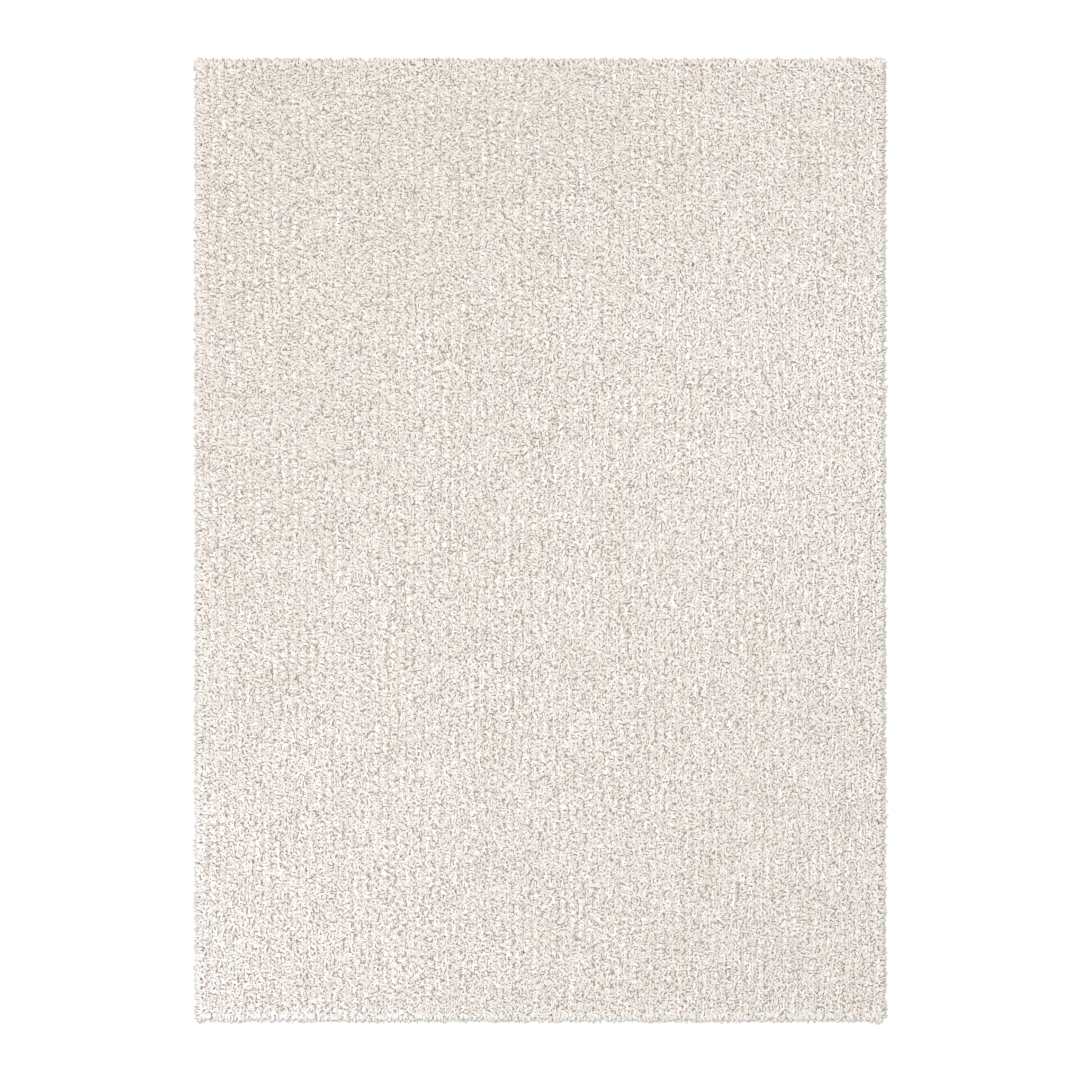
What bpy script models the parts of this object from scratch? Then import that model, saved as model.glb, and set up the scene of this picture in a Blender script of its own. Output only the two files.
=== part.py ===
"""A shag rug lying flat on a floor.

The pile and the ground that it is woven into are one piece: a slab with a flat
underside, a lumpy top that falls away at a soft shoulder, and locks of yarn that
stand out all round its rim. X runs across the rug, Y along its length, and the
floor is z = 0.
"""

import math
import random

import bmesh
import bpy
from mathutils import Vector, noise
from mathutils.geometry import delaunay_2d_cdt

# Driving sizes, in metres.
GROUND_WIDTH = 1.524
GROUND_LENGTH = 2.134
PILE_HEIGHT = 0.0275

# The top of the pile: broad swells, smaller clumps, and a shoulder at the rim.
SWELL_WIDTH = 0.210
SWELL_HEIGHT = 0.0020
CLUMP_WIDTH = 0.058
CLUMP_HEIGHT = 0.0078
SHOULDER_WIDTH = 0.016
SHOULDER_DROP = 0.0055
CLUMP_POINT_SPACING = 0.0370
CLUMP_POINT_JITTER = 0.24
RIM_MARGIN = 0.021

# The rim of the pile, from the floor up.
WALL = (
    {"height": 0.0, "out": 0.0},
    {"height": 0.0115, "out": 0.0025},
    {"height": 0.0215, "out": 0.0000},
)
WALL_TOP_UNEVENNESS = 0.0016

# The locks round the rim. Every second one grows low, and lies on the floor.
LOCK_PITCH = 0.0250
LOCK_GAP = 0.0050
LOCKS = (
    {"width": 0.0135, "reach": 0.0155, "narrowing": 0.72, "lean": 0.0035, "droop": 0.0060},
    {"width": 0.0150, "reach": 0.0110, "narrowing": 0.90, "lean": -0.0040, "droop": 0.0035},
    {"width": 0.0120, "reach": 0.0145, "narrowing": 0.78, "lean": -0.0050, "droop": 0.0080},
    {"width": 0.0170, "reach": 0.0130, "narrowing": 0.74, "lean": 0.0045, "droop": 0.0050},
    {"width": 0.0145, "reach": 0.0155, "narrowing": 0.82, "lean": 0.0010, "droop": 0.0070},
)
LOCK_KNEE = 0.60
LOCK_SEED = 7

# At each corner two more locks, one over the other, point straight out from it.
CORNER_GAP = 0.008
CORNER_LOCKS = (
    {"reach": 0.0235, "narrowing": 0.80, "lean": 0.0025, "droop": 0.0060},
    {"reach": 0.0205, "narrowing": 0.85, "lean": -0.0030, "droop": 0.0060},
)

YARN_COLOUR = (0.775, 0.720, 0.668, 1.0)
YARN_ROUGHNESS = 0.95


def clear_scene():
    for old in list(bpy.data.objects):
        bpy.data.objects.remove(old, do_unlink=True)


def yarn_material():
    material = bpy.data.materials.new("cream_yarn")
    material.use_nodes = True
    shader = material.node_tree.nodes["Principled BSDF"]
    shader.inputs["Base Color"].default_value = YARN_COLOUR
    shader.inputs["Roughness"].default_value = YARN_ROUGHNESS
    shader.inputs["Metallic"].default_value = 0.0
    return material


def pile_top(x, y):
    """Height of the pile's top over the floor."""
    swell = noise.noise(Vector((x, y, 0)) / SWELL_WIDTH)
    clump = noise.noise(Vector((x, y, SWELL_WIDTH)) / CLUMP_WIDTH)
    inward = min(GROUND_WIDTH / 2 - abs(x), GROUND_LENGTH / 2 - abs(y))
    shoulder = SHOULDER_DROP * math.exp(-max(inward, 0) / SHOULDER_WIDTH)
    return PILE_HEIGHT + SWELL_HEIGHT * swell + CLUMP_HEIGHT * clump - shoulder


def clump_points(rng):
    """Points on the pile's top, in staggered rows that are a little uneven."""
    row_step = CLUMP_POINT_SPACING * math.sqrt(3) / 2
    half_width = GROUND_WIDTH / 2 - RIM_MARGIN
    half_length = GROUND_LENGTH / 2 - RIM_MARGIN
    rows = round(2 * half_length / row_step)
    columns = round(2 * half_width / CLUMP_POINT_SPACING)
    wander = CLUMP_POINT_SPACING * CLUMP_POINT_JITTER
    points = []
    for row in range(rows + 1):
        stagger = 0.5 * (row % 2)
        for column in range(columns + 1 - row % 2):
            x = (2 * (column + stagger) / columns - 1) * half_width
            y = (2 * row / rows - 1) * half_length
            x += rng.uniform(-wander, wander) * (0 < column < columns)
            y += rng.uniform(-wander, wander) * (0 < row < rows)
            points.append(Vector((x, y)))
    return points


def plan_locks(rng):
    """A row of LOCKS for each cell of the rim, anticlockwise, with the two ends of its root."""
    locks = []
    for side in range(4):
        along = Vector((round(math.cos(side * math.pi / 2)), round(math.sin(side * math.pi / 2))))
        out = Vector((along.y, -along.x))
        run, across = ((GROUND_WIDTH, GROUND_LENGTH), (GROUND_LENGTH, GROUND_WIDTH))[side % 2]
        cells = round(run / LOCK_PITCH)
        pitch = run / cells
        for cell in range(cells):
            kind = rng.choice(LOCKS)
            slack = pitch - LOCK_GAP - kind["width"]
            start = cell * pitch + LOCK_GAP / 2 + rng.uniform(0, slack)
            start = min(max(start, CORNER_GAP), run - CORNER_GAP - kind["width"])
            root = [along * (end - run / 2) + out * across / 2 for end in (start, start + kind["width"])]
            locks.append({"root": root, "out": out, **kind})
    return locks


def corner_locks(before, after):
    """The locks of CORNER_LOCKS between the last lock of one side and the first of the next."""
    root = [before["root"][1], after["root"][0]]
    out = (before["out"] + after["out"]).normalized()
    return [{"root": root, "out": out, **kind} for kind in CORNER_LOCKS]


def wall_rings(mesh, locks):
    """One ring of vertices for each row of WALL, two for each lock: where it starts and where it ends."""
    rings = []
    for row in WALL:
        ring = []
        for lock in locks:
            for point in lock["root"]:
                height = row["height"]
                if row is WALL[-1]:
                    height += WALL_TOP_UNEVENNESS * noise.noise(Vector((*point, 0)) / CLUMP_WIDTH)
                ring.append(mesh.verts.new((*(point + lock["out"] * row["out"]), height)))
        rings.append(ring)
    return rings


def wall_bands(mesh, rings):
    """The rim's faces, as a list for each band between two rings."""
    bands = []
    for lower, upper in zip(rings, rings[1:]):
        around = range(len(lower))
        corners = [(lower[i - 1], lower[i], upper[i], upper[i - 1]) for i in around]
        bands.append([mesh.faces.new(quad) for quad in corners])
    return bands


def close_top(mesh, rim, inner):
    """Triangles over the rim's upper ring and the clump points inside it."""
    flat = [vertex.co.xy for vertex in rim] + inner
    loop = list(range(len(rim)))
    _, _, triangles, sources, _, _ = delaunay_2d_cdt(flat, [], [loop], 1, 1e-6)
    vertices = rim + [mesh.verts.new((*point, pile_top(*point))) for point in inner]
    for triangle in triangles:
        mesh.faces.new([vertices[sources[i][0]] for i in triangle])


def grow_lock(mesh, root, lock, on_floor):
    """A lock of four sides: it leaves its root, narrows to a knee and ends in a drooping point."""
    foot = (lock["root"][0] + lock["root"][1]).to_3d() / 2
    out = lock["out"].to_3d()
    along = Vector((-out.y, out.x, 0))
    middle = root.calc_center_median()
    droop = min(lock["droop"], middle.z)
    knee = bmesh.ops.extrude_discrete_faces(mesh, faces=[root])["faces"][0]
    for vertex in knee.verts:
        offset = (vertex.co - middle) * lock["narrowing"]
        sideways = offset.dot(along) + lock["lean"] * LOCK_KNEE
        place = foot + along * sideways + out * (lock["reach"] * LOCK_KNEE)
        place.z = middle.z + offset.z - droop * LOCK_KNEE
        if on_floor and offset.z < 0:
            place.z = 0.0
        vertex.co = place
    tip = bmesh.ops.poke(mesh, faces=[knee])["verts"][0]
    tip.co = foot + along * lock["lean"] + out * lock["reach"]
    tip.co.z = 0.0 if on_floor else middle.z - droop


def rug_mesh():
    rng = random.Random(LOCK_SEED)
    locks = plan_locks(rng)
    mesh = bmesh.new()
    rings = wall_rings(mesh, locks)
    mesh.faces.new(list(reversed(rings[0])))
    bands = wall_bands(mesh, rings)
    close_top(mesh, rings[-1], clump_points(rng))
    for number, lock in enumerate(locks):
        band = number % len(bands)
        grow_lock(mesh, bands[band][2 * number + 1], lock, on_floor=band == 0)
        before = locks[number - 1]
        if before["out"] != lock["out"]:
            for band, corner in enumerate(corner_locks(before, lock)):
                grow_lock(mesh, bands[band][2 * number], corner, on_floor=band == 0)
    bmesh.ops.recalc_face_normals(mesh, faces=mesh.faces)
    data = bpy.data.meshes.new("shag_rug")
    mesh.to_mesh(data)
    mesh.free()
    return data


def build():
    clear_scene()
    rug = bpy.data.objects.new("shag_rug", rug_mesh())
    rug.data.materials.append(yarn_material())
    bpy.context.scene.collection.objects.link(rug)


build()
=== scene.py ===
import math

import bpy
import numpy as np
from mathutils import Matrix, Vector, kdtree, noise


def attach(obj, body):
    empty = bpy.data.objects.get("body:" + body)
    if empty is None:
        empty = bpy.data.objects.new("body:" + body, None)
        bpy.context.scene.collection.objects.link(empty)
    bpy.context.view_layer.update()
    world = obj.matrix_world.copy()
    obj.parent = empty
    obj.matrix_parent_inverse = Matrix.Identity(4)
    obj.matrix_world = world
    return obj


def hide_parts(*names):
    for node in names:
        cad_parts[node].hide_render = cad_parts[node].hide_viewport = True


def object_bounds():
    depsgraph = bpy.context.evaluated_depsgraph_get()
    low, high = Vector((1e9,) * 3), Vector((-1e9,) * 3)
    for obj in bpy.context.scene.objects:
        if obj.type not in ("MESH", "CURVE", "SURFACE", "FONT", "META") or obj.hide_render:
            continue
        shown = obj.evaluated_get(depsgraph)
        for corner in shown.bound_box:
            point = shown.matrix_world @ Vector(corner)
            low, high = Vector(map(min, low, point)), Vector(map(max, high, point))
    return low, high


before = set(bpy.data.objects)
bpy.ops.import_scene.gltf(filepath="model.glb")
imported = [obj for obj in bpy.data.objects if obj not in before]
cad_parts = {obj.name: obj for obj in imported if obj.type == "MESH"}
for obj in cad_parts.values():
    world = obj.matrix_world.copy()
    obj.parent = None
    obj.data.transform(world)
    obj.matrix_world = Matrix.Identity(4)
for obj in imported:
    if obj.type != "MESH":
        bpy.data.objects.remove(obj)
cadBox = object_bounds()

bpy.ops.object.select_all(action="DESELECT")

# the rug, in metres: the woven ground, and the lumpy top of the pile over it
rug = {
    "node": "shag_rug",
    "width": 1.524,
    "length": 2.134,
    "pileHeight": 0.0275,  # half-way up its lumps
    "swellWidth": 0.210,
    "swellHeight": 0.0020,
    "clumpWidth": 0.058,
    "clumpHeight": 0.0045,
    "shoulderWidth": 0.016,  # over which the top falls away to the rim
    "shoulderDrop": 0.0055,
}
halfWidth = rug["width"] / 2
halfLength = rug["length"] / 2


def toLinear(hexColour):
    channels = [int(hexColour[i:i + 2], 16) / 255 for i in (1, 3, 5)]
    return [c / 12.92 if c <= 0.04045 else ((c + 0.055) / 1.055) ** 2.4 for c in channels] + [1.0]


def addNode(tree, kind, settings={}, links={}):
    node = tree.nodes.new(kind)
    for name, value in settings.items():
        if isinstance(name, str) and hasattr(node, name):
            setattr(node, name, value)
        else:
            node.inputs[name].default_value = value
    for name, source in links.items():
        tree.links.new(source, node.inputs[name])
    return node


def newMaterial(name):
    material = bpy.data.materials.new(name)
    material.use_nodes = True
    tree = material.node_tree
    return material, tree, tree.nodes["Principled BSDF"]


yarnFinish = {
    "tip": "#eae8e7",
    # warmer and a touch darker towards the root: painted shade, for light bounced deep in the white pile
    "root": "#ece5e0",
    "rootUpTo": 0.15,  # shares of the yarn's length
    "tipFrom": 0.60,
    "plies": 2,
    "plyPitch": 0.0095,  # from one ply to the next along the yarn
    "plyDepth": 0.0003,  # of the groove between two plies
    "plyBump": 0.8,
    "fibreWidth": 0.0009,
    "fibreRange": (0.3, 0.7),
    "fibreShade": 0.02,
    "plyShade": 0.04,
    "plyShadeTo": 0.6,  # how far the painted shade line reaches up a ply
    "roughness": 0.82,
    "scatter": 1.0,
    "specular": 0.15,
    "sheen": 0.35,
    "sheenSpread": 0.5,
    "dim": "#fffbf4",  # warm tint at toneFrom, for painted shade
    "bright": "#fdfeff",  # tint at toneTo
    "toneFrom": 0.90,
    "toneTo": 1.10,
}


def friezeYarn():
    # heat-set polypropylene, two plies twisted hard: matt, and nearly as bright at its edges as on its
    # crown, because its fibres scatter light every way; loose fibre ends give it a soft outline
    look = yarnFinish
    material, tree, shader = newMaterial("heatSetPolypropyleneFriezeYarn")
    lay = addNode(tree, "ShaderNodeUVMap", {"uv_map": "alongYarn"})
    place = addNode(tree, "ShaderNodeSeparateXYZ", links={0: lay.outputs[0]})
    along = addNode(tree, "ShaderNodeAttribute", {"attribute_name": "along"})
    tone = addNode(tree, "ShaderNodeAttribute", {"attribute_name": "tone"})

    # the plies run round the yarn as a helix
    turns = addNode(tree, "ShaderNodeMath", {"operation": "DIVIDE", 1: look["plyPitch"]},
                    {0: place.outputs[1]})
    phase = addNode(tree, "ShaderNodeMath", {"operation": "MULTIPLY_ADD", 1: look["plies"]},
                    {0: place.outputs[0], 2: turns.outputs[0]})
    wave = addNode(tree, "ShaderNodeMath", {"operation": "PINGPONG", 1: 0.5}, {0: phase.outputs[0]})
    ply = addNode(tree, "ShaderNodeMath", {"operation": "MULTIPLY", 1: 2.0, "use_clamp": True},
                  {0: wave.outputs[0]})

    # fibres of 0.05 mm are too fine to show, so they are drawn near 1 mm wide, as faint specks; the twist
    # shows as a faint line of painted shade between the plies
    within = addNode(tree, "ShaderNodeTexCoord")
    fibres = addNode(tree, "ShaderNodeTexNoise", {"Scale": 1 / look["fibreWidth"] / 2, "Detail": 1.0},
                     {"Vector": within.outputs["Object"]})
    least, most = look["fibreRange"]
    shade = addNode(tree, "ShaderNodeMapRange",
                    {"From Min": least, "From Max": most, "To Min": 1 - look["fibreShade"]},
                    {0: fibres.outputs[0]})
    plyShade = addNode(tree, "ShaderNodeMapRange",
                       {"From Max": look["plyShadeTo"], "To Min": 1 - look["plyShade"]},
                       {0: ply.outputs[0]})
    both = addNode(tree, "ShaderNodeMath", {"operation": "MULTIPLY"},
                   {0: shade.outputs[0], 1: plyShade.outputs[0]})
    toned = addNode(tree, "ShaderNodeMath", {"operation": "MULTIPLY"},
                    {0: both.outputs[0], 1: tone.outputs["Fac"]})

    # the darker a yarn's tone, the warmer its tint, and the paler, the whiter: painted warm shade, as light
    # bounced between white yarns warms the shade
    shadeWarmth = addNode(tree, "ShaderNodeMapRange", {"From Min": look["toneFrom"], "From Max": look["toneTo"]},
                      {0: tone.outputs["Fac"]})
    tint = addNode(tree, "ShaderNodeMix",
                   {"data_type": "RGBA", 6: toLinear(look["dim"]), 7: toLinear(look["bright"])},
                   {0: shadeWarmth.outputs[0]})
    # towards its root the yarn is painted warmer and darker: painted shade of the depth of the pile
    opened = addNode(tree, "ShaderNodeMapRange", {"From Min": look["rootUpTo"], "From Max": look["tipFrom"]},
                     {0: along.outputs["Fac"]})
    rootShadedYarn = addNode(tree, "ShaderNodeMix",
                  {"data_type": "RGBA", 6: toLinear(look["root"]), 7: toLinear(look["tip"])},
                  {0: opened.outputs[0]})
    tinted = addNode(tree, "ShaderNodeVectorMath", {"operation": "MULTIPLY"},
                     {0: rootShadedYarn.outputs[2], 1: tint.outputs[2]})
    colour = addNode(tree, "ShaderNodeVectorMath", {"operation": "SCALE"},
                     {0: tinted.outputs[0], "Scale": toned.outputs[0]})
    bump = addNode(tree, "ShaderNodeBump", {"Strength": look["plyBump"], "Distance": look["plyDepth"]},
                   {"Height": ply.outputs[0]})
    tree.links.new(colour.outputs[0], shader.inputs["Base Color"])
    tree.links.new(bump.outputs[0], shader.inputs["Normal"])
    shader.inputs["Roughness"].default_value = look["roughness"]
    shader.inputs["Diffuse Roughness"].default_value = look["scatter"]
    shader.inputs["Specular IOR Level"].default_value = look["specular"]
    shader.inputs["Sheen Weight"].default_value = look["sheen"]
    shader.inputs["Sheen Roughness"].default_value = look["sheenSpread"]
    return material


baseFinish = {
    "yarn": "#e4dbd3",
    "gap": "#ad9784",
    "yarnSpacing": 0.0085,
    "gapFrom": 0.00,
    "gapTo": 0.095,  # in yarn spacings
    "bend": 0.004,  # how far the humps stray from round
    "bendWidth": 0.006,
    "depth": 0.002,
    "bump": 1.0,
    "roughness": 0.95,
}


def crushedPile():
    # the same yarn, pressed together where it leaves the ground: pale humps with painted brown shade between
    # them, all painted darker and warmer than the yarn above as painted shade deep in the pile
    look = baseFinish
    material, tree, shader = newMaterial("crushedPolypropylenePile")
    place = addNode(tree, "ShaderNodeTexCoord")
    wander = addNode(tree, "ShaderNodeTexNoise", {"Scale": 1 / look["bendWidth"], "Detail": 1.0},
                     {"Vector": place.outputs["Object"]})
    bent = addNode(tree, "ShaderNodeVectorMath", {"operation": "MULTIPLY_ADD", 1: (look["bend"],) * 3},
                   {0: wander.outputs["Color"], 2: place.outputs["Object"]})
    cells = addNode(tree, "ShaderNodeTexVoronoi",
                    {"feature": "DISTANCE_TO_EDGE", "Scale": 1 / look["yarnSpacing"]},
                    {"Vector": bent.outputs[0]})
    hump = addNode(tree, "ShaderNodeMapRange",
                   {"interpolation_type": "SMOOTHSTEP", "From Min": look["gapFrom"],
                    "From Max": look["gapTo"]},
                   {0: cells.outputs["Distance"]})
    colour = addNode(tree, "ShaderNodeMix",
                     {"data_type": "RGBA", 6: toLinear(look["gap"]), 7: toLinear(look["yarn"])},
                     {0: hump.outputs[0]})
    bump = addNode(tree, "ShaderNodeBump", {"Strength": look["bump"], "Distance": look["depth"]},
                   {"Height": hump.outputs[0]})
    tree.links.new(colour.outputs[2], shader.inputs["Base Color"])
    tree.links.new(bump.outputs[0], shader.inputs["Normal"])
    shader.inputs["Roughness"].default_value = look["roughness"]
    return material


groundFinish = {
    "warp": "#cdb893",
    "weft": "#b99f78",
    "threadSpacing": 0.004,
    "unevenness": 0.4,
    "depth": 0.0005,
    "bump": 0.7,
    "roughness": 0.9,
}


def wovenGround():
    # jute and polypropylene, plain woven; real threads lie 2 mm apart, and 4 mm is the least that shows
    look = groundFinish
    material, tree, shader = newMaterial("plainWovenJuteGround")
    place = addNode(tree, "ShaderNodeTexCoord")
    # at scale 1 a wave repeats every 2 pi / 20
    scale = 2 * math.pi / 20 / look["threadSpacing"]
    waves = [addNode(tree, "ShaderNodeTexWave",
                     {"bands_direction": direction, "Scale": scale, "Distortion": look["unevenness"],
                      "Detail": 1.0},
                     {"Vector": place.outputs["Object"]}) for direction in ("X", "Y")]
    warp, weft = [wave.outputs[1] for wave in waves]
    check = addNode(tree, "ShaderNodeMath", {"operation": "SUBTRACT"}, {0: warp, 1: weft})
    share = addNode(tree, "ShaderNodeMapRange", {"From Min": -1.0, "From Max": 1.0}, {0: check.outputs[0]})
    colour = addNode(tree, "ShaderNodeMix",
                     {"data_type": "RGBA", 6: toLinear(look["warp"]), 7: toLinear(look["weft"])},
                     {0: share.outputs[0]})
    height = addNode(tree, "ShaderNodeMath", {"operation": "MAXIMUM"}, {0: warp, 1: weft})
    bump = addNode(tree, "ShaderNodeBump", {"Strength": look["bump"], "Distance": look["depth"]},
                   {"Height": height.outputs[0]})
    tree.links.new(colour.outputs[2], shader.inputs["Base Color"])
    tree.links.new(bump.outputs[0], shader.inputs["Normal"])
    shader.inputs["Roughness"].default_value = look["roughness"]
    return material


def inwardOf(x, y):
    # how far a place is from the nearest edge of the ground
    return min(halfWidth - abs(x), halfLength - abs(y))


def pileTop(x, y):
    swell = noise.noise(Vector((x, y, 0)) / rug["swellWidth"])
    clump = noise.noise(Vector((x, y, rug["swellWidth"])) / rug["clumpWidth"])
    shoulder = rug["shoulderDrop"] * math.exp(-max(inwardOf(x, y), 0) / rug["shoulderWidth"])
    return rug["pileHeight"] + rug["swellHeight"] * swell + rug["clumpHeight"] * clump - shoulder


def finishPiece(piece, material):
    piece.data.materials.clear()
    piece.data.materials.append(material)
    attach(piece, "root")
    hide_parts(rug["node"])
    piece.select_set(False)
    return piece


ground = {"thickness": 0.002, "columns": 38, "rows": 53}


def makeGround():
    bpy.ops.mesh.primitive_grid_add(x_subdivisions=ground["columns"], y_subdivisions=ground["rows"], size=2,
                                    location=(0, 0, 0))
    cloth = bpy.context.object
    cloth.name = "ground_cloth"
    bpy.ops.object.mode_set(mode="EDIT")
    bpy.ops.mesh.select_all(action="SELECT")
    bpy.ops.transform.resize(value=(halfWidth, halfLength, 1))
    bpy.ops.mesh.extrude_region_move(TRANSFORM_OT_translate={"value": (0, 0, ground["thickness"])})
    bpy.ops.mesh.select_all(action="SELECT")
    bpy.ops.mesh.normals_make_consistent(inside=False)
    bpy.ops.object.mode_set(mode="OBJECT")
    print("woven ground:", len(cloth.data.polygons), "faces")
    return cloth


# the pressed lower pile closes the gaps between the yarns
base = {
    "columns": 84,
    "rows": 118,
    "inset": 0.001,  # from the ground's edge
    "depth": 0.0060,  # under the top of the pile
    "foot": 0.0018,  # just inside the woven ground
    "roll": 0.010,  # radius of its rounded edge
    "rollSteps": 4,
    "least": 0.003,  # its least height
    "ripple": 0.0010,
    "rippleWidth": 0.015,
}


def baseTop(x, y):
    # the bed follows the pile's top, and rolls down to the ground at the rim
    ripple = base["ripple"] * noise.noise(Vector((x, y, 1)) / base["rippleWidth"])
    short = base["roll"] - min(max(inwardOf(x, y) - base["inset"], 0), base["roll"])
    roll = base["roll"] - math.sqrt(base["roll"] ** 2 - short ** 2)
    return max(pileTop(x, y) - base["depth"] + ripple - roll, base["least"])


def makeBase():
    bpy.ops.mesh.primitive_grid_add(x_subdivisions=base["columns"], y_subdivisions=base["rows"], size=2,
                                    location=(0, 0, 0))
    bed = bpy.context.object
    bed.name = "pile_base"
    bpy.ops.object.mode_set(mode="EDIT")
    bpy.ops.mesh.select_all(action="SELECT")
    bpy.ops.transform.resize(value=(halfWidth - base["inset"], halfLength - base["inset"], 1))
    # the top waits at height 1 and the foot at 0, which tells them apart when each gets its own height
    bpy.ops.transform.translate(value=(0, 0, 1))
    for step in range(base["rollSteps"]):
        bpy.ops.mesh.inset(thickness=base["roll"] / base["rollSteps"])
    bpy.ops.mesh.select_all(action="DESELECT")
    bpy.ops.mesh.select_non_manifold()
    bpy.ops.mesh.extrude_region_move(TRANSFORM_OT_translate={"value": (0, 0, -1)})
    bpy.ops.mesh.edge_face_add()
    bpy.ops.object.mode_set(mode="OBJECT")
    for vertex in bed.data.vertices:
        x, y, z = vertex.co
        vertex.co.z = baseTop(x, y) if z > 0.5 else base["foot"]
    bpy.ops.object.mode_set(mode="EDIT")
    bpy.ops.mesh.select_all(action="SELECT")
    bpy.ops.mesh.normals_make_consistent(inside=False)
    bpy.ops.object.mode_set(mode="OBJECT")
    bpy.ops.object.shade_smooth()
    print("pile base:", len(bed.data.polygons), "faces")
    return bed


def modelYarn(girths):
    # one yarn, straight and on end: a point, a ring of three at each whole height, and a point again
    bpy.ops.mesh.primitive_cone_add(vertices=3, radius1=0, radius2=girths[0], depth=1, location=(0, 0, 0.5),
                                    end_fill_type="NGON")
    yarn = bpy.context.object
    bpy.ops.object.transform_apply(location=True, rotation=True, scale=True)
    bpy.ops.object.mode_set(mode="EDIT")
    bpy.ops.mesh.select_mode(type="FACE")
    bpy.ops.mesh.select_all(action="DESELECT")
    bpy.ops.object.mode_set(mode="OBJECT")
    # only the face that looks up is drawn on upwards
    for face in yarn.data.polygons:
        face.select = face.normal.z > 0.9
    bpy.ops.object.mode_set(mode="EDIT")
    for lower, upper in zip(girths, girths[1:]):
        bpy.ops.mesh.extrude_region_move(TRANSFORM_OT_translate={"value": (0, 0, 1)})
        bpy.ops.transform.resize(value=(upper / lower, upper / lower, 1))
    bpy.ops.mesh.extrude_region_move(TRANSFORM_OT_translate={"value": (0, 0, 1)})
    bpy.ops.mesh.merge(type="CENTER")
    bpy.ops.object.mode_set(mode="OBJECT")
    mesh = yarn.data
    points = np.array([vertex.co for vertex in mesh.vertices])
    faces = [list(face.vertices) for face in mesh.polygons]
    bpy.data.objects.remove(yarn)
    triangles = sum(len(face) - 2 for face in faces)
    return {"points": points, "faces": faces, "triangles": triangles, "joints": len(girths) + 1}


def yarnUvs(model):
    # round the yarn and along it, for each corner of each face
    corners = []
    for face in model["faces"]:
        spots = model["points"][face]
        onRing = np.hypot(spots[:, 0], spots[:, 1]) > 0.1
        turns = np.arctan2(spots[:, 1], spots[:, 0]) / (2 * math.pi) % 1
        # a face that crosses the start of the turn goes on past 1, and a point takes its face's middle
        if np.ptp(turns[onRing]) > 0.5:
            turns[turns < 0.5] += 1
        turns[~onRing] = turns[onRing].mean()
        corners += [(turn, spot[2] / model["joints"]) for turn, spot in zip(turns, spots)]
    corners = np.array(corners)
    corners[:, 0] -= corners[:, 0].min()
    corners[:, 0] /= corners[:, 0].max()
    return corners


def bendAlong(model, lines, thickness):
    # the points of every copy of the model, when each copy follows its own line
    steps = np.diff(lines, axis=1)
    steps /= np.linalg.norm(steps, axis=2, keepdims=True)
    tangents = np.concatenate([steps[:, :1], steps[:, :-1] + steps[:, 1:], steps[:, -1:]], axis=1)
    tangents /= np.linalg.norm(tangents, axis=2, keepdims=True)
    # a first direction across each yarn, and then the same one carried along it without a twist
    askew = np.roll(tangents[:, 0], 1, axis=1) + (0.3, -0.2, 0.1)
    side = np.cross(tangents[:, 0], askew)
    sides = []
    for joint in range(lines.shape[1]):
        side = side - (side * tangents[:, joint]).sum(1, keepdims=True) * tangents[:, joint]
        side /= np.linalg.norm(side, axis=1, keepdims=True)
        sides.append(side)
    sides = np.stack(sides, axis=1)
    others = np.cross(tangents, sides)
    points = model["points"]
    ring = np.rint(points[:, 2]).astype(int)
    radius = thickness[:, None, None] / 2
    around = points[:, 0, None] * sides[:, ring] + points[:, 1, None] * others[:, ring]
    return lines[:, ring] + radius * around


def joinCopies(name, model, places):
    # one mesh of all the copies, each with the faces of the model
    count, points = places.shape[:2]
    sizes = np.tile([len(face) for face in model["faces"]], count)
    corners = np.array([index for face in model["faces"] for index in face])
    corners = (corners[None] + points * np.arange(count)[:, None]).ravel()
    mesh = bpy.data.meshes.new(name)
    mesh.vertices.add(count * points)
    mesh.vertices.foreach_set("co", places.astype(np.float32).ravel())
    mesh.loops.add(len(corners))
    mesh.loops.foreach_set("vertex_index", corners.astype(np.int32))
    mesh.polygons.add(len(sizes))
    mesh.polygons.foreach_set("loop_start", (np.cumsum(sizes) - sizes).astype(np.int32))
    mesh.update(calc_edges=True)
    mesh.shade_smooth()
    return mesh


def copyYarns(name, model, lines, thickness, tones, lengths):
    count = len(lines)
    mesh = joinCopies(name, model, bendAlong(model, lines, thickness))
    uvs = yarnUvs(model)
    metres = np.stack([np.tile(uvs[:, 0], (count, 1)), uvs[None, :, 1] * lengths[:, None]], axis=2)
    mesh.uv_layers.new(name="alongYarn").uv.foreach_set("vector", metres.astype(np.float32).ravel())
    # for baking, each yarn has its own cell in a square of cells, with a margin round it
    cells, margin = math.ceil(math.sqrt(count)), 0.06
    cell = np.stack([np.arange(count) % cells, np.arange(count) // cells], axis=1)
    atlas = (cell[:, None] + margin + (1 - 2 * margin) * uvs[None]) / cells
    mesh.uv_layers.new(name="OFBake").uv.foreach_set("vector", atlas.astype(np.float32).ravel())
    along = model["points"][:, 2] / model["joints"]
    for attribute, values in (("tone", np.repeat(tones, len(along))), ("along", np.tile(along, count))):
        mesh.attributes.new(attribute, "FLOAT", "POINT").data.foreach_set("value", values.astype(np.float32))
    mesh.validate()
    piece = bpy.data.objects.new(name, mesh)
    bpy.context.scene.collection.objects.link(piece)
    print(f"{name}: {count} yarns, {model['triangles'] * count} triangles")
    return piece
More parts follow.
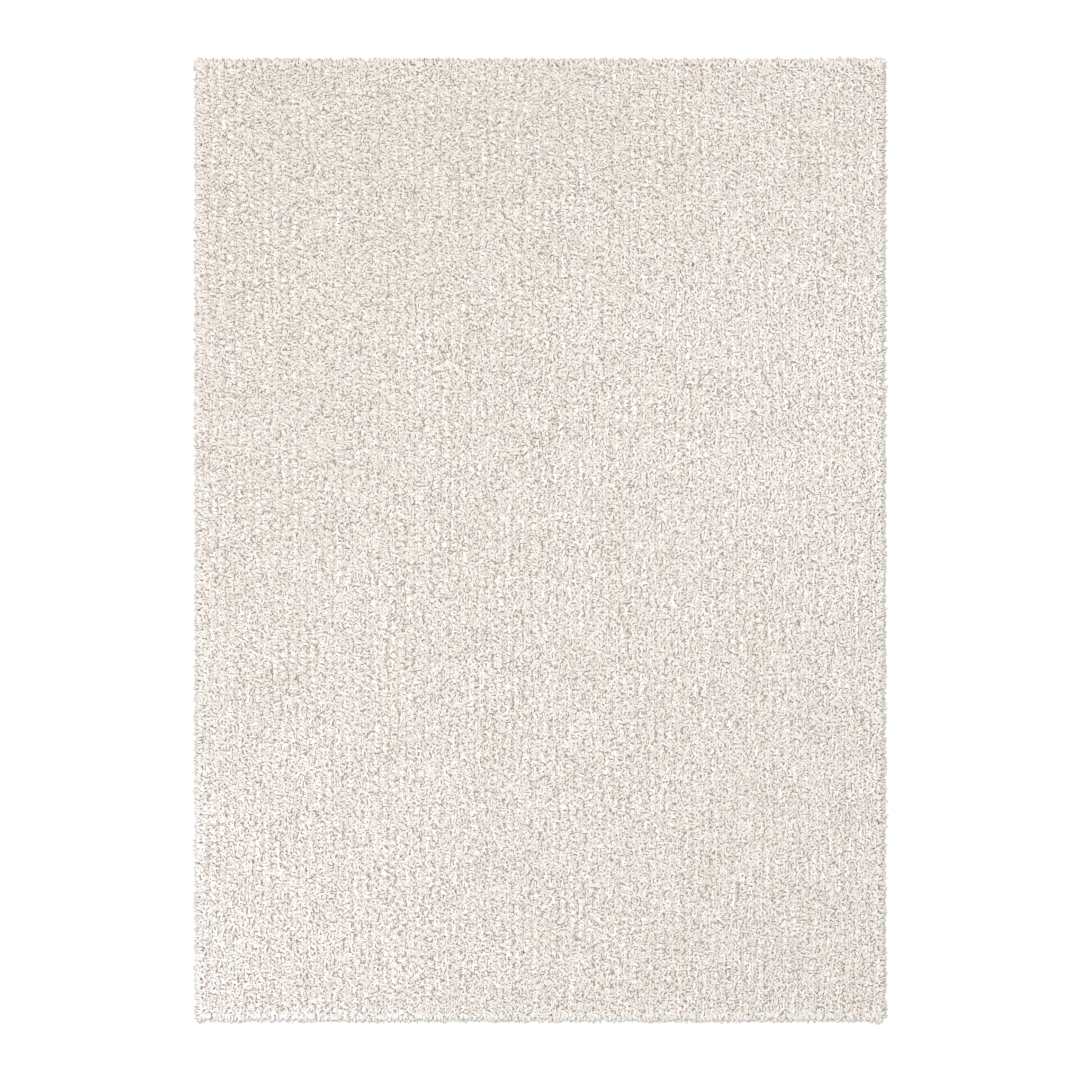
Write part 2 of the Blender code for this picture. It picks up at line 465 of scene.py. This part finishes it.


# how the pile lies, from the top left of the photo; places run from -1 to 1 across and along the rug, and
# headings turn anticlockwise from +X
# the tone column is painted shading: the pile is painted paler or darker where its lay takes the light
# differently
pileLay = (
    {"across": -0.70, "along": 0.90, "heading": 185, "tone": 0.95, "open": 1.1},
    {"across": 0.00, "along": 0.90, "heading": 173, "tone": 0.95, "open": 1.1},
    {"across": 0.75, "along": 0.90, "heading": 128, "tone": 0.98, "open": 0.8},
    {"across": -0.75, "along": 0.30, "heading": 165, "tone": 0.98, "open": 1.0},
    {"across": 0.00, "along": 0.30, "heading": 82, "tone": 0.99, "open": 1.1},
    {"across": 0.75, "along": 0.30, "heading": 97, "tone": 1.03, "open": 0.7},
    {"across": -0.75, "along": -0.25, "heading": 145, "tone": 1.00, "open": 1.0},
    {"across": 0.00, "along": -0.30, "heading": 82, "tone": 1.01, "open": 1.1},
    {"across": 0.75, "along": -0.30, "heading": 86, "tone": 1.00, "open": 0.8},
    {"across": -0.75, "along": -0.80, "heading": 108, "tone": 1.06, "open": 0.8},
    {"across": 0.00, "along": -0.80, "heading": 106, "tone": 1.01, "open": 1.1},
    {"across": 0.75, "along": -0.80, "heading": 90, "tone": 0.99, "open": 0.6},
)
layReach = 0.30

pile = {
    "yarnPitch": (0.0073, 0.0063),  # across the rug and along it
    "wander": 0.0012,
    "tuftPitch": (0.0200, 0.0150),
    "tuftWander": (0.0024, 0.0036),
    "meander": 0.006,  # how far the rows stray from straight
    "meanderWidth": (0.090, 0.140),
    "tuftReach": 1.6,  # the farthest that a yarn counts from its tuft, squared
    "gather": (0.36, 0.20),  # how much of the way to its tuft's middle a tip is drawn
    "tuftDome": 0.0017,  # how much higher a tuft's middle stands than the seam
    "tuftShade": 0.05,  # and how much paler it is painted, with painted shade at the seam
    "shadeFrom": 0.4,
    "streak": 0.11,  # how much paler a standing row is painted: a painted highlight for the light it catches
    "streakRise": 0.0012,  # and how much higher
    "streakWidth": (0.0095, 0.055),
    "streakStep": 0.010,  # from a row to the seam beside it
    "closeUp": 0.8,  # how much the rows open and close from patch to patch
    "closeUpWidth": 0.200,
    "openLimits": (0.2, 1.3),
    "brushShade": 0.025,  # how much the tone changes in patches where brushing has laid the pile: painted shading, as laid pile takes the light differently
    "brushShadeWidth": (0.200, 0.070),
    "tuftSwing": 22,  # degrees off the lay of the pile
    "yarnSwing": 35,
    "yarnLength": 0.0220,
    "lengthSpread": 0.08,
    "thickness": 0.0062,
    "thicknessSpread": 0.08,
    "tuftRise": 0.0004,
    "yarnRise": 0.0004,
    "yarnTone": 0.006,
    "edgeReach": 0.006,  # how wide the edge is that leans outwards
    "edgePull": 1.2,
    "edgeCalm": 0.8,  # how much less its yarns swing
    "edgeDroop": 30,  # how much lower they hang, in degrees
    "edgeInset": 0.002,
    "least": 0.0034,  # least height of a yarn's middle
    "bands": 5,
    "seed": 11,
}

# a yarn stands up from its root, leans over and droops; climbs and swings are in degrees
yarnBends = (
    {"share": 0.46, "climb": 80, "climbSpread": 6, "swing": 0, "girth": 0.85},
    {"share": 0.33, "climb": 24, "climbSpread": 8, "swing": 36, "girth": 0.98},
    {"share": 0.21, "climb": -18, "climbSpread": 11, "swing": 55},
)


def patchAt(spots, width, layer):
    # noise that swings from one patch of that width to the next
    return np.array([noise.noise((*(spot / width), layer)) for spot in spots])


def staggered(pitch, wander, rng):
    # straight rows along the rug's length, each half a step on from the row beside it
    rows, steps = round(rug["width"] / pitch[0]), round(rug["length"] / pitch[1])
    row, step = np.meshgrid(np.arange(rows), np.arange(steps), indexing="ij")
    x = (row + 0.5) / rows * rug["width"] - halfWidth
    y = (step + 0.25 + 0.5 * (row % 2)) / steps * rug["length"] - halfLength
    spots = np.stack([x.ravel(), y.ravel()], axis=1)
    spots[:, 0] += pile["meander"] * patchAt(spots, pile["meanderWidth"], 0)
    spots += rng.normal(0, wander, spots.shape)
    edge = np.array([halfWidth, halfLength]) - pile["edgeInset"]
    return np.clip(spots, -edge, edge)


def nearestOf(spots, middles):
    tree = kdtree.KDTree(len(middles))
    for number, middle in enumerate(middles):
        tree.insert((*middle, 0), number)
    tree.balance()
    return np.array([tree.find((*spot, 0))[1] for spot in spots])


def layAt(spots):
    # the heading, tone and openness of the pile, eased between the rows of pileLay
    places = np.array([(row["across"] * halfWidth, row["along"] * halfLength) for row in pileLay])
    weights = np.exp(-((spots[:, None] - places[None]) ** 2).sum(2) / (2 * layReach ** 2))
    weights = weights / weights.sum(1, keepdims=True)
    headings = np.radians([row["heading"] for row in pileLay])
    heading = np.arctan2(weights @ np.sin(headings), weights @ np.cos(headings))
    return heading, *[weights @ np.array([row[name] for row in pileLay]) for name in ("tone", "open")]


def outwardAt(spots, reach):
    # how strongly each side of the rug draws the pile outwards
    inward = np.array([halfWidth, halfLength]) - np.abs(spots)
    return np.sign(spots) * np.exp(-inward / reach)


def streakAt(x, y):
    # how much a row stands out from the seams beside it
    wide, long = pile["streakWidth"]
    here, before, after = [noise.noise(((x + step) / wide, y / long, 2))
                           for step in (0, -pile["streakStep"], pile["streakStep"])]
    return here - (before + after) / 2


def linesOf(starts, headings, climbs, lengths, bends):
    # each yarn's middle line, from its start through its bends to its tip
    shares = np.array([bend["share"] for bend in bends])
    flat = np.cos(climbs)
    steps = np.stack([flat * np.cos(headings), flat * np.sin(headings), np.sin(climbs)], axis=2)
    steps *= (lengths[:, None] * shares[None])[:, :, None]
    return np.concatenate([starts[:, None], starts[:, None] + np.cumsum(steps, axis=1)], axis=1)


def leanAt(heading, outward, pull):
    # at the edge a yarn gives up its own heading and leans outwards
    lean = np.stack([np.cos(heading), np.sin(heading)], axis=1) * (1 - pull)[:, None]
    lean += pile["edgePull"] * outward
    return np.arctan2(lean[:, 1], lean[:, 0])


def settle(lines, tops, thickness, drawn, pull):
    # each yarn rises until it touches the top of the pile
    lines[:, :, 2] += (tops - lines[:, :, 2].max(1) - thickness / 2)[:, None]
    lines[:, :, 2] = np.maximum(lines[:, :, 2], pile["least"])
    # the open end of each yarn, not its root, is what keeps to its place in the row
    middle = lines[:, 1:, :2].mean(1) - lines[:, 0, :2]
    lines[:, :, :2] -= (middle * (1 - pull)[:, None])[:, None]
    # towards its tip it is drawn to the middle of its tuft
    share = np.cumsum([0] + [bend["share"] for bend in yarnBends])
    lines[:, :, :2] += (drawn * (1 - pull)[:, None])[:, None] * share[None, :, None]


def growPile():
    rng = np.random.default_rng(pile["seed"])
    roots = staggered(pile["yarnPitch"], pile["wander"], rng)
    tufts = staggered(pile["tuftPitch"], pile["tuftWander"], rng)
    tuft = nearestOf(roots, tufts)
    # how far each yarn is from the middle of its tuft, squared: 1 at the seam between two rows
    fromMiddle = (((roots - tufts[tuft]) / pile["tuftPitch"] * 2) ** 2).sum(1).clip(0, pile["tuftReach"])
    count = len(roots)

    layHeading, layTone, layOpen = layAt(roots)
    # here and there the pile closes up over the rows
    opening = layOpen + pile["closeUp"] * patchAt(roots, pile["closeUpWidth"], 1)
    opening = opening.clip(*pile["openLimits"])
    heading = layHeading + np.radians(rng.normal(0, pile["tuftSwing"], len(tufts)))[tuft]
    heading += np.radians(rng.normal(0, pile["yarnSwing"], count))
    outward = outwardAt(roots, pile["edgeReach"])
    pull = np.clip(np.linalg.norm(outward, axis=1), 0, 1)

    swings = np.cumsum([rng.normal(0, bend["swing"], count) for bend in yarnBends], axis=0).T
    swings *= (1 - pile["edgeCalm"] * pull)[:, None]
    headings = leanAt(heading, outward, pull)[:, None] + np.radians(swings)
    climbs = np.stack([rng.normal(bend["climb"], bend["climbSpread"], count) for bend in yarnBends], axis=1)
    climbs = np.radians(climbs - pile["edgeDroop"] * pull[:, None])
    lengths = pile["yarnLength"] * (1 + rng.normal(0, pile["lengthSpread"], count))
    thickness = pile["thickness"] * (1 + rng.normal(0, pile["thicknessSpread"], count))

    tops = np.array([pileTop(*spot) for spot in roots])
    tops += pile["tuftDome"] * (1 - fromMiddle)
    # here and there a row stands higher than the seams beside it, and is painted paler: a painted highlight
    streak = np.array([streakAt(x, y) for x, y in roots])
    tops += pile["streakRise"] * streak
    tops += rng.normal(0, pile["tuftRise"], len(tufts))[tuft]
    tops += rng.normal(0, pile["yarnRise"], count)
    lines = linesOf(np.column_stack([roots, np.zeros(count)]), headings, climbs, lengths, yarnBends)
    # each tuft draws its yarns together, and most of all across its row
    drawn = (tufts[tuft] - roots) * pile["gather"] * opening[:, None]
    settle(lines, tops, thickness, drawn, pull)

    # patches painted paler or darker where brushing has laid the pile: painted shading
    tones = layTone + pile["brushShade"] * patchAt(roots, pile["brushShadeWidth"], 3)
    tones += rng.normal(0, pile["yarnTone"], count)
    # standing rows and tufts' middles get a painted highlight, and the seams between tufts painted shade
    raised = pile["streak"] * streak + pile["tuftShade"] * (pile["shadeFrom"] - fromMiddle) * opening
    tones += raised * (1 - pull)
    # bands across the rug keep every piece under 200,000 triangles
    band = np.clip(((roots[:, 1] / rug["length"] + 0.5) * pile["bands"]).astype(int), 0, pile["bands"] - 1)
    model = modelYarn([bend["girth"] for bend in yarnBends[:-1]])
    return [copyYarns(f"pile_band_{number + 1}", model, lines[band == number], thickness[band == number],
                      tones[band == number], lengths[band == number])
            for number in range(pile["bands"])]


# at the rim nothing outside holds the yarns up, so they fan out over the ground's edge
rimYarns = {
    "reach": 0.0155,  # past the ground's edge
    "cornerFan": 0.012,  # the yarns this near a corner fan out
    "pitch": 0.0061,
    "wander": 0.30,  # of the pitch
    "thickness": 0.0058,
    "thicknessSpread": 0.06,
    "girths": (1.0, 1.0, 0.9),
    "lengthSpread": 0.06,
    "cornerGrowth": 0.6,  # share of the longer way to a corner that its yarns grow by
    "swing": 18,
    "climbSpread": 7,
    "insetSpread": 0.0014,
    "heightSpread": 0.0010,
    "tone": 0.02,
    "least": 0.0036,  # least height of a yarn's middle
    "seed": 23,
}
# the rows of yarns from the floor up, with their climb at each bend in degrees; the lower rows are painted
# darker, as painted shade under the pile above them
rimRows = (
    {"inset": 0.003, "height": 0.0032, "climbs": (12, -2, -4, 0), "length": 0.0200,
     "spread": 16, "tone": 0.93},
    {"inset": 0.004, "height": 0.0066, "climbs": (48, 10, -18, -20), "length": 0.0220,
     "spread": 16, "tone": 0.93},
    {"inset": 0.005, "height": 0.0105, "climbs": (60, 24, -10, -35), "length": 0.0210,
     "spread": 35, "tone": 0.96},
    {"inset": 0.008, "height": 0.0145, "climbs": (66, 30, -6, -36), "length": 0.0195,
     "spread": 35, "tone": 0.99},
)
rimShares = (0.28, 0.26, 0.24, 0.22)


def rimAt(distance):
    # where the pile ends, that far round its outline, and the place on the ground's edge that it grows from;
    # close to a corner the yarns fan out, so that they end square
    reach, fan = rimYarns["reach"], rimYarns["cornerFan"]
    for side in range(4):
        along = np.array([round(math.cos(side * math.pi / 2)), round(math.sin(side * math.pi / 2))])
        out = np.array([along[1], -along[0]])
        halfRun, toEdge = ((halfWidth, halfLength), (halfLength, halfWidth))[side % 2]
        if distance <= 2 * (halfRun + reach):
            end = distance - halfRun - reach
            past = max(abs(end) - halfRun + fan, 0)
            start = math.copysign(abs(end) - past + past * fan / (fan + reach), end)
            return along * start + out * toEdge, along * end + out * (toEdge + reach)
        distance -= 2 * (halfRun + reach)
    # rounding can carry a place just past the last side
    return rimAt(0)


def growRim():
    rng = np.random.default_rng(rimYarns["seed"])
    around = 2 * (rug["width"] + rug["length"]) + 8 * rimYarns["reach"]
    count = round(around / rimYarns["pitch"])
    bends = [{"share": share} for share in rimShares]
    lines, lengths, thickness = [], [], []
    for number, row in enumerate(rimRows):
        # each row stands half a step on from the one below it
        wander = rng.uniform(-rimYarns["wander"], rimYarns["wander"], count)
        distances = (np.arange(count) + 0.5 * (number % 2) + wander) * around / count
        spots, ends = map(np.array, zip(*[rimAt(distance % around) for distance in distances]))
        farther = np.linalg.norm(ends - spots, axis=1)
        facings = (ends - spots) / farther[:, None]
        insets = row["inset"] + rng.normal(0, rimYarns["insetSpread"], count)
        heights = row["height"] + rng.normal(0, rimYarns["heightSpread"], count)
        starts = np.column_stack([spots - facings * insets[:, None], heights])
        heading = np.arctan2(facings[:, 1], facings[:, 0]) + np.radians(rng.normal(0, row["spread"], count))
        swings = np.cumsum([rng.normal(0, rimYarns["swing"], count) for bend in bends], axis=0).T
        climbs = np.array(row["climbs"])[None] + rng.normal(0, rimYarns["climbSpread"], (count, len(bends)))
        size = row["length"] * (1 + rng.normal(0, rimYarns["lengthSpread"], count))
        size += rimYarns["cornerGrowth"] * (farther - rimYarns["reach"])
        line = linesOf(starts, heading[:, None] + np.radians(swings), np.radians(climbs), size, bends)
        line[:, :, 2] = np.maximum(line[:, :, 2], rimYarns["least"])
        lines.append(line)
        lengths.append(size)
        thickness.append(rimYarns["thickness"] * (1 + rng.normal(0, rimYarns["thicknessSpread"], count)))
    lines, lengths, thickness = map(np.concatenate, (lines, lengths, thickness))
    # each rim row's tone is painted darker low down: painted shade under the pile
    tones = layAt(lines[:, 0, :2])[1] * np.repeat([row["tone"] for row in rimRows], count)
    tones += rng.normal(0, rimYarns["tone"], len(lines))
    return copyYarns("pile_rim", modelYarn(rimYarns["girths"]), lines, thickness, tones, lengths)


yarn = friezeYarn()
cloth = finishPiece(makeGround(), wovenGround())
bed = finishPiece(makeBase(), crushedPile())
pilePieces = [finishPiece(piece, yarn) for piece in growPile() + [growRim()]]

studio = {
    "floor": "#f4f4f3",
    "floorRoughness": 0.9,
    "floorSize": 60.0,
    "floorDrop": 0.0004,
    "sky": 0.48,
    "key": 760.0,  # watts
    "keySize": 6.0,
    "keyPlace": (-0.9, 0.9, 9.0),
}


def makeFloor():
    # a hair under the rug, so that the two don't flicker through each other
    bpy.ops.mesh.primitive_plane_add(size=studio["floorSize"], location=(0, 0, -studio["floorDrop"]))
    floor = bpy.context.object
    floor.name = "studio_floor"
    material, _, shader = newMaterial("paintedStudioFloor")
    shader.inputs["Base Color"].default_value = toLinear(studio["floor"])
    shader.inputs["Roughness"].default_value = studio["floorRoughness"]
    floor.data.materials.append(material)


def addLight():
    world = bpy.data.worlds.new("studio")
    world.use_nodes = True
    background = world.node_tree.nodes["Background"]
    background.inputs["Color"].default_value = (1, 1, 1, 1)
    background.inputs["Strength"].default_value = studio["sky"]
    bpy.context.scene.world = world
    lamp = bpy.data.lights.new("key", "AREA")
    lamp.shape = "DISK"
    lamp.size = studio["keySize"]
    lamp.energy = studio["key"]
    key = bpy.data.objects.new("key", lamp)
    key.location = studio["keyPlace"]
    key.rotation_euler = (-Vector(studio["keyPlace"])).to_track_quat("-Z", "Y").to_euler()
    bpy.context.scene.collection.objects.link(key)


# the photo looks straight down, with the rug's length up the picture
shot = {"lens": 100.0, "sensor": 36.0, "photoSide": 1080, "rugInPhoto": 694, "farthest": 100.0}


def addCamera():
    wide = (cadBox[1][0] - cadBox[0][0]) * shot["photoSide"] / shot["rugInPhoto"]
    lens = bpy.data.cameras.new("above")
    lens.lens = shot["lens"]
    lens.sensor_width = shot["sensor"]
    lens.clip_end = shot["farthest"]
    camera = bpy.data.objects.new("above", lens)
    camera.location = (0, 0, wide * shot["lens"] / shot["sensor"] + rug["pileHeight"] / 2)
    bpy.context.scene.collection.objects.link(camera)
    bpy.context.scene.camera = camera


makeFloor()
addLight()
addCamera()
bpy.context.scene.view_settings.view_transform = "Standard"
print("floor, light and camera are set")
